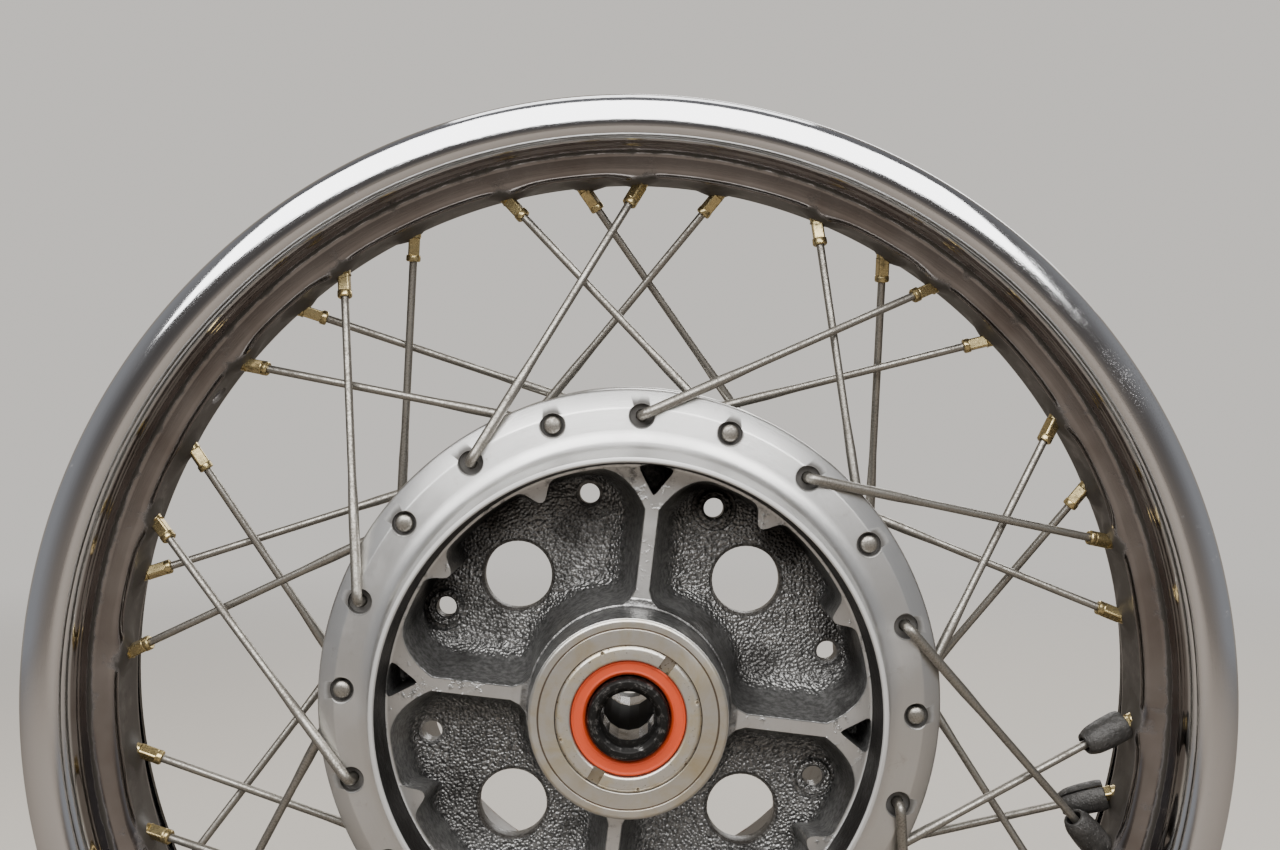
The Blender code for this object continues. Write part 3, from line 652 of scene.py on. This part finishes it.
retainer = turn_piece("retainer_ring", rounded([
    (-61.6, 20.9, 0.5), (-62.1, 21.6, 0.4), (-62.1, 25.2, 0.3), (-61.5, 26.0, 0.3), (-61.5, 26.35, 0.1),
    (-52.6, 26.35, 0), (-52.6, 19.0, 0.3), (-54.5, 19.0, 0.3), (-54.5, 20.9, 0.3)]), 192)
notches = []
for degrees in (54.0, 240.0):
    bpy.ops.object.select_all(action="DESELECT")
    bpy.ops.mesh.primitive_cube_add(size=1.0, scale=(9.0 * MM, 3.4 * MM, 4.6 * MM))
    notch = bpy.context.object
    bpy.ops.object.transform_apply(location=False, rotation=False, scale=True)
    notch.data.transform(
        Matrix.Translation(around(23.4 * MM, degrees, -62.2 * MM))
        @ Matrix.Rotation(-math.radians(degrees), 4, "Y"))
    notches.append(notch)
for degrees in (13.5, 111.5, 197.0, 277.7):
    bpy.ops.object.select_all(action="DESELECT")
    bpy.ops.mesh.primitive_cone_add(vertices=20, radius1=1.5 * MM, radius2=0.2 * MM, depth=1.8 * MM,
                                    rotation=(-math.pi / 2, 0, 0))
    punch = bpy.context.object
    bpy.ops.object.transform_apply(location=False, rotation=True, scale=False)
    punch.data.transform(Matrix.Translation(around(25.4 * MM, degrees, -61.9 * MM)))
    notches.append(punch)
cut_away(retainer, notches)
bpy.ops.object.shade_smooth_by_angle(angle=math.radians(30.0))
tarnished = Finish("tarnished_turned_aluminium", Metallic=0.95)
ring_mark = tarnished.vector(tarnished.radius * 6000.0, tarnished.turn * 1.5, tarnished.axial * 6000.0)
ring_mark = ring_mark.noise(1.0, 3.0, 0.6)
blotch = tarnished.place.noise(140.0, 5.0, 0.6)
freckle = tarnished.place.noise(900.0, 3.0)
yellow = blotch.ramp(0.42, 0.72)
pale = ring_mark.blend((0.60, 0.58, 0.53, 1.0), (0.72, 0.70, 0.66, 1.0))
thread_line = (tarnished.radius.ramp(0.0256, 0.0261) + tarnished.axial.ramp(-0.0618, -0.0612)).ramp(0.0, 1.0)
tarnished.drive(
    Base_Color=(freckle.ramp(0.60, 0.72) * 0.7 + thread_line * 0.55).ramp(0.0, 1.0).blend(
        (yellow * 0.55 + 0.08).blend(pale, (0.60, 0.49, 0.26, 1.0)), (0.12, 0.08, 0.045, 1.0)),
    Roughness=0.30 + blotch * 0.14)
tarnished.relief(ring_mark * 0.5 + freckle * 0.4, 0.00014, 0.6)
tarnished.put_on(retainer)
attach(retainer, "wheel")
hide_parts("bearing_retainer")

# ---------------------------------------------------------------------------
# Dust seals. Moulded nitrile rings pressed in outside each bearing, with a thin
# lip that runs on the collar: orange on the near side, black on the far side.
# ---------------------------------------------------------------------------


def rubber(name, colour, dusty):
    moulded = Finish(name, Specular_IOR_Level=0.35)
    dust = moulded.place.noise(240.0, 5.0, 0.65)
    cloud = moulded.place.noise(55.0, 3.0)
    moulded.drive(
        Base_Color=(dust.ramp(0.50, 0.80) * 0.5 + cloud.ramp(0.45, 0.75) * 0.25).blend(colour, dusty),
        Roughness=0.46 + dust * 0.22)
    moulded.relief(dust, 0.00012, 0.5)
    return moulded


near_seal = turn_piece("near_seal_ring", rounded([
    (-59.6, 15.6, 0.3), (-60.6, 16.6, 0.4), (-60.2, 17.2, 0.3), (-60.2, 19.6, 0.5), (-60.6, 20.2, 0.3),
    (-60.4, 20.75, 0.2), (-55.0, 20.75, 0.2), (-55.0, 15.4, 0.2), (-57.4, 15.15, 0.2)]), 144)
rubber("orange_nitrile", (0.50, 0.052, 0.012, 1.0), (0.34, 0.060, 0.026, 1.0)).put_on(near_seal)
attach(near_seal, "wheel")
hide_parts("near_dust_seal")
far_seal = turn_piece("far_seal_ring", rounded([
    (24.6, 15.6, 0.3), (25.4, 16.6, 0.4), (25.0, 17.4, 0.3), (25.0, 24.4, 0.5), (25.5, 25.0, 0.3),
    (25.4, 25.7, 0.2), (20.0, 25.7, 0.2), (20.0, 15.4, 0.2), (22.4, 15.15, 0.2)][::-1]), 144)
rubber("black_nitrile", (0.018, 0.018, 0.019, 1.0), (0.07, 0.066, 0.06, 1.0)).put_on(far_seal)
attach(far_seal, "wheel")
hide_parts("far_dust_seal")

# ---------------------------------------------------------------------------
# Spokes. Cold-drawn steel wire, headed and bent at the hub end, butted thicker
# over the first quarter, and screwed into a nipple at the rim. Dull with age.
# ---------------------------------------------------------------------------

NECK = 2.0
SHAFT = 1.6
BUTT_SHARE = 0.24

wire_steel = Finish("aged_zinc_wire", Metallic=0.95)
mottle = wire_steel.place.noise(1300.0, 3.0, 0.6)
blooms = wire_steel.place.noise(90.0, 3.0)
pit = wire_steel.place.noise(2400.0, 2.0)
tarnish = (mottle * 0.75 + blooms * 0.45).ramp(0.50, 0.80)
clean = blooms.blend((0.38, 0.365, 0.33, 1.0), (0.29, 0.27, 0.235, 1.0))
wire_steel.drive(
    Base_Color=(tarnish * 0.8).blend(clean, (0.12, 0.105, 0.088, 1.0)),
    Roughness=0.32 + tarnish * 0.20 + pit * 0.06,
    Metallic=0.95 - tarnish * 0.20)
wire_steel.relief(mottle * 0.6 + pit * 0.4, 0.00014, 0.6)


def spoke_line(family, number):
    """Centre line and radii in millimetres of one spoke, from its head to its nipple."""
    lace = LACING[family]
    seat, aim, bend = seat_and_aim(family, number)
    way = Vector((0.0, lace["way"], 0.0))
    head = Vector((bend.x, lace["head"], bend.z))
    line = []
    for rise, size in ((-1.1, 0.3), (-1.05, 1.2), (-0.85, 2.2), (-0.45, 3.0), (0.0, 3.4), (0.5, 3.5),
                       (1.0, 3.3), (1.5, 2.4), (1.9, NECK)):
        line.append((head + way * rise * MM, size))
    before = bend - way * 3.6 * MM
    after = bend + aim * 4.6 * MM
    line.append((before - way * 0.5 * MM, NECK))
    for share in np.linspace(0.0, 1.0, 9):
        point = before * (1 - share) ** 2 + bend * 2 * share * (1 - share) + after * share ** 2
        line.append((point, NECK))
    length = (seat - after).length
    for share, size in ((BUTT_SHARE, NECK), (BUTT_SHARE + 0.05, (NECK + SHAFT) / 2),
                        (BUTT_SHARE + 0.10, SHAFT), (0.6, SHAFT), (0.98, SHAFT)):
        line.append((after + aim * length * share, size))
    return line


def draw_wire(name, line):
    """Bend a wire along a line and give it a round section."""
    bpy.ops.object.select_all(action="DESELECT")
    bpy.ops.curve.primitive_nurbs_path_add()
    wire = bpy.context.object
    wire.name = name
    wire.data.splines.clear()
    spline = wire.data.splines.new("POLY")
    spline.points.add(len(line) - 1)
    for point, (place, size) in zip(spline.points, line):
        point.co = (*place, 1.0)
        point.radius = size
    wire.data.bevel_depth = MM
    wire.data.bevel_resolution = 5
    wire.data.use_fill_caps = True
    bpy.ops.object.convert(target="MESH")
    wire = bpy.context.object
    bpy.ops.object.shade_smooth_by_angle(angle=math.radians(50.0))
    return wire


for family in LACING:
    for number in range(SPOKES_EACH):
        wire = draw_wire(f"wire_{family}_{number + 1:02d}", spoke_line(family, number))
        wire_steel.put_on(wire)
        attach(wire, "wheel")
        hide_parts(f"spoke_{family}_{number + 1:02d}")

# ---------------------------------------------------------------------------
# Nipples. Turned brass with two pairs of spanner flats, yellow plated, pushed
# through the rim from the tyre side and screwed down the spokes.
# ---------------------------------------------------------------------------

NIPPLE_ROUND = 2.95
NIPPLE_FLAT = 2.3

plated_brass = Finish("yellow_plated_brass", Metallic=0.95)
dull = plated_brass.place.noise(480.0, 5.0, 0.65)
patina = plated_brass.place.noise(120.0, 3.0)
grease = (dull * 0.8 + patina * 0.4).ramp(0.58, 0.88)
plated_brass.drive(
    Base_Color=grease.blend(patina.blend((0.64, 0.50, 0.24, 1.0), (0.46, 0.38, 0.20, 1.0)),
                            (0.075, 0.06, 0.04, 1.0)),
    Roughness=0.20 + dull * 0.14 + grease * 0.25)
plated_brass.relief(dull, 0.00007, 0.5)


def on_spoke(seat, aim):
    """Turns +Y along a spoke towards the rim and moves the origin to its seat there."""
    return Matrix.Translation(seat) @ aim.to_track_quat("Y", "Z").to_matrix().to_4x4()


nipple_turns = [
    (-12.6, 1.75), (-12.6, 2.5), (-12.2, 2.9), (-11.8, NIPPLE_ROUND), (-10.6, NIPPLE_ROUND), (-10.3, 2.85),
    (-10.0, NIPPLE_ROUND), (-9.9, NIPPLE_ROUND), (-3.2, NIPPLE_ROUND), (-3.1, NIPPLE_ROUND), (-2.8, 2.7),
    (3.0, 2.7), (4.2, 3.6), (5.6, 3.7), (6.6, 2.6), (6.8, 0.8)]
nipple_blank = turn_piece("nipple_blank", nipple_turns, 40, smooth=24.0)
shape = read_points(nipple_blank)
size = np.hypot(shape[:, 0], shape[:, 2])
spin = np.arctan2(shape[:, 2], shape[:, 0])
to_flat = (spin + math.pi / 4) % (math.pi / 2) - math.pi / 4
on_flats = (shape[:, 1] > -9.95 * MM) & (shape[:, 1] < -3.15 * MM)
allowed = np.where(on_flats, NIPPLE_FLAT * MM / np.cos(to_flat), 1.0)
narrower = np.minimum(1.0, allowed / np.maximum(size, 0.1 * MM))
shape[:, 0] *= narrower
shape[:, 2] *= narrower
write_points(nipple_blank, shape)
bpy.ops.object.shade_smooth_by_angle(angle=math.radians(24.0))
for family in LACING:
    for number in range(SPOKES_EACH):
        seat, aim, bend = seat_and_aim(family, number)
        nipple = nipple_blank.copy()
        nipple.data = nipple_blank.data.copy()
        nipple.name = f"nipple_{family}_{number + 1:02d}"
        bpy.context.scene.collection.objects.link(nipple)
        screwed = Matrix.Rotation(math.radians(37.0 * number + 11.0), 4, "Y")
        nipple.data.transform(on_spoke(seat, aim) @ screwed)
        plated_brass.put_on(nipple)
        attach(nipple, "wheel")
bpy.data.objects.remove(nipple_blank, do_unlink=True)

# ---------------------------------------------------------------------------
# Balance weights. Bullet-shaped lead castings, slit to slip over a spoke and
# pinched shut over its nipple. They have gone dark and dented.
# ---------------------------------------------------------------------------

WEIGHT_SEATS = {
    "balance_weight_upper": ("near_inner", 9),
    "balance_weight_rear": ("far_outer", 8),
    "balance_weight_lower": ("near_outer", 0),
}
SLIT_SEEN = 40.0
SLIT_HIDDEN = 270.0

dull_lead = Finish("dull_lead", Metallic=0.55)
dents = dull_lead.place.noise(260.0, 5.0, 0.6)
scrape = dull_lead.place.noise(900.0, 3.0).ramp(0.58, 0.72)
dull_lead.drive(
    Base_Color=(scrape * 0.45).blend(dents.blend((0.022, 0.021, 0.020, 1.0), (0.085, 0.081, 0.076, 1.0)),
                                     (0.22, 0.21, 0.20, 1.0)),
    Roughness=0.36 + dents * 0.22)
dull_lead.relief(dents + scrape * 0.12, 0.0011, 0.9)
bullet = rounded([
    (-24.0, 3.05, 0.3), (-24.0, 4.2, 0.7), (-20.6, 5.7, 2.0), (-14.6, 6.2, 2.0), (-7.6, 6.2, 1.2),
    (-5.7, 5.8, 0.5), (-5.6, 3.05, 0.3)])
for name, (family, number) in WEIGHT_SEATS.items():
    seat, aim, bend = seat_and_aim(family, number)
    weight = turn_piece(name.replace("balance", "lead"), bullet, 56)
    bpy.ops.object.select_all(action="DESELECT")
    bpy.ops.mesh.primitive_cube_add(size=1.0, location=(0, -14.6 * MM, 5.2 * MM),
                                    scale=(0.9 * MM, 24.0 * MM, 5.0 * MM))
    slit = bpy.context.object
    bpy.ops.object.transform_apply(location=True, rotation=False, scale=True)
    cut_away(weight, [slit])
    turned_to = Matrix.Rotation(math.radians(SLIT_SEEN if name.endswith("rear") else SLIT_HIDDEN), 4, "Y")
    weight.data.transform(on_spoke(seat, aim) @ turned_to)
    bpy.ops.object.shade_smooth_by_angle(angle=math.radians(40.0))
    dull_lead.put_on(weight)
    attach(weight, "wheel")
    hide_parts(name)

# ---------------------------------------------------------------------------
# Floor, light and camera. A pale floor under the standing wheel, with a painted dark reflection,
# fading into a plain pale room, with one large soft lamp above and weak soft fill.
# ---------------------------------------------------------------------------

low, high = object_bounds()
bpy.ops.object.select_all(action="DESELECT")
bpy.ops.mesh.primitive_circle_add(vertices=96, radius=3.2, fill_type="NGON", location=(0.0, 0.0, low[2]))
floor = bpy.context.object
floor.name = "floor"
floor_paint = bpy.data.materials.new("pale_floor")
floor_paint.use_nodes = True
nodes = floor_paint.node_tree.nodes
links = floor_paint.node_tree.links
paint = nodes["Principled BSDF"]
paint.inputs["Roughness"].default_value = 0.85
fade = Tone(floor_paint.node_tree)
# Painted reflection: in reflections the floor shows a dark brown tone; seen directly it stays pale.
mirrored = fade.node("ShaderNodeLightPath", output="Is Glossy Ray")
floor_colour = mirrored.blend((0.62, 0.58, 0.52, 1.0), (0.22, 0.19, 0.16, 1.0))
links.new(floor_colour.socket, paint.inputs["Base Color"])
spot = fade.node("ShaderNodeTexCoord", output="Object")
distance = fade.node("ShaderNodeVectorMath", {0: spot}, output="Value", operation="LENGTH")
solid = 1.0 - distance.ramp(0.7, 2.6)
links.new(solid.socket, paint.inputs["Alpha"])
floor.data.materials.append(floor_paint)

world = bpy.data.worlds.new("pale_room")
bpy.context.scene.world = world
world.use_nodes = True
sky = world.node_tree
background = sky.nodes["Background"]
room = Tone(sky)
seen = room.node("ShaderNodeLightPath", output="Is Camera Ray")
direction = room.node("ShaderNodeTexCoord", output="Generated")
split = sky.nodes.new("ShaderNodeSeparateXYZ")
sky.links.new(direction.socket, split.inputs[0])
up = Tone(sky, split.outputs["Z"])
back = Tone(sky, split.outputs["Y"])
aside = abs(Tone(sky, split.outputs["X"]))
walls = up.ramp(-0.30, 0.15).blend((0.31, 0.27, 0.235, 1.0), (0.085, 0.078, 0.075, 1.0))
walls = aside.ramp(0.45, 0.90).blend(walls, (0.30, 0.305, 0.32, 1.0))
walls = up.ramp(0.55, 0.95).blend(walls, (0.20, 0.20, 0.21, 1.0))
walls = back.ramp(-0.10, 0.60).blend(walls, (0.36, 0.32, 0.27, 1.0))
sky.links.new(seen.blend(walls, (0.74, 0.71, 0.67, 1.0)).socket, background.inputs["Color"])
background.inputs["Strength"].default_value = 1.0


def soft_lamp(name, place, size, power, aim=(0.0, 0.0, 0.0), colour=(1.0, 1.0, 1.0)):
    bpy.ops.object.select_all(action="DESELECT")
    bpy.ops.object.light_add(type="AREA", location=place)
    lamp = bpy.context.object
    lamp.name = name
    lamp.data.shape = "RECTANGLE"
    lamp.data.size, lamp.data.size_y = size
    lamp.data.energy = power
    lamp.data.color = colour
    lamp.visible_camera = False
    lamp.rotation_euler = (Vector(aim) - Vector(place)).to_track_quat("-Z", "Y").to_euler()
    return lamp


soft_lamp("key_softbox", (-0.10, -1.20, 1.10), (2.5, 1.15), 64.0, aim=(0.0, 0.0, 0.08))
soft_lamp("top_softbox", (0.0, 0.10, 1.60), (1.2, 0.8), 10.0)
soft_lamp("rear_fill", (0.8, 2.0, 1.3), (1.6, 1.2), 26.0)

bpy.ops.object.select_all(action="DESELECT")
bpy.ops.object.camera_add(location=(0.0042, -0.5075, 0.1054), rotation=(math.pi / 2, 0.0, 0.0))
camera = bpy.context.object
camera.name = "camera"
camera.data.sensor_width = 36.0
camera.data.lens = 35.0
camera.data.clip_start = 0.01
bpy.context.scene.camera = camera
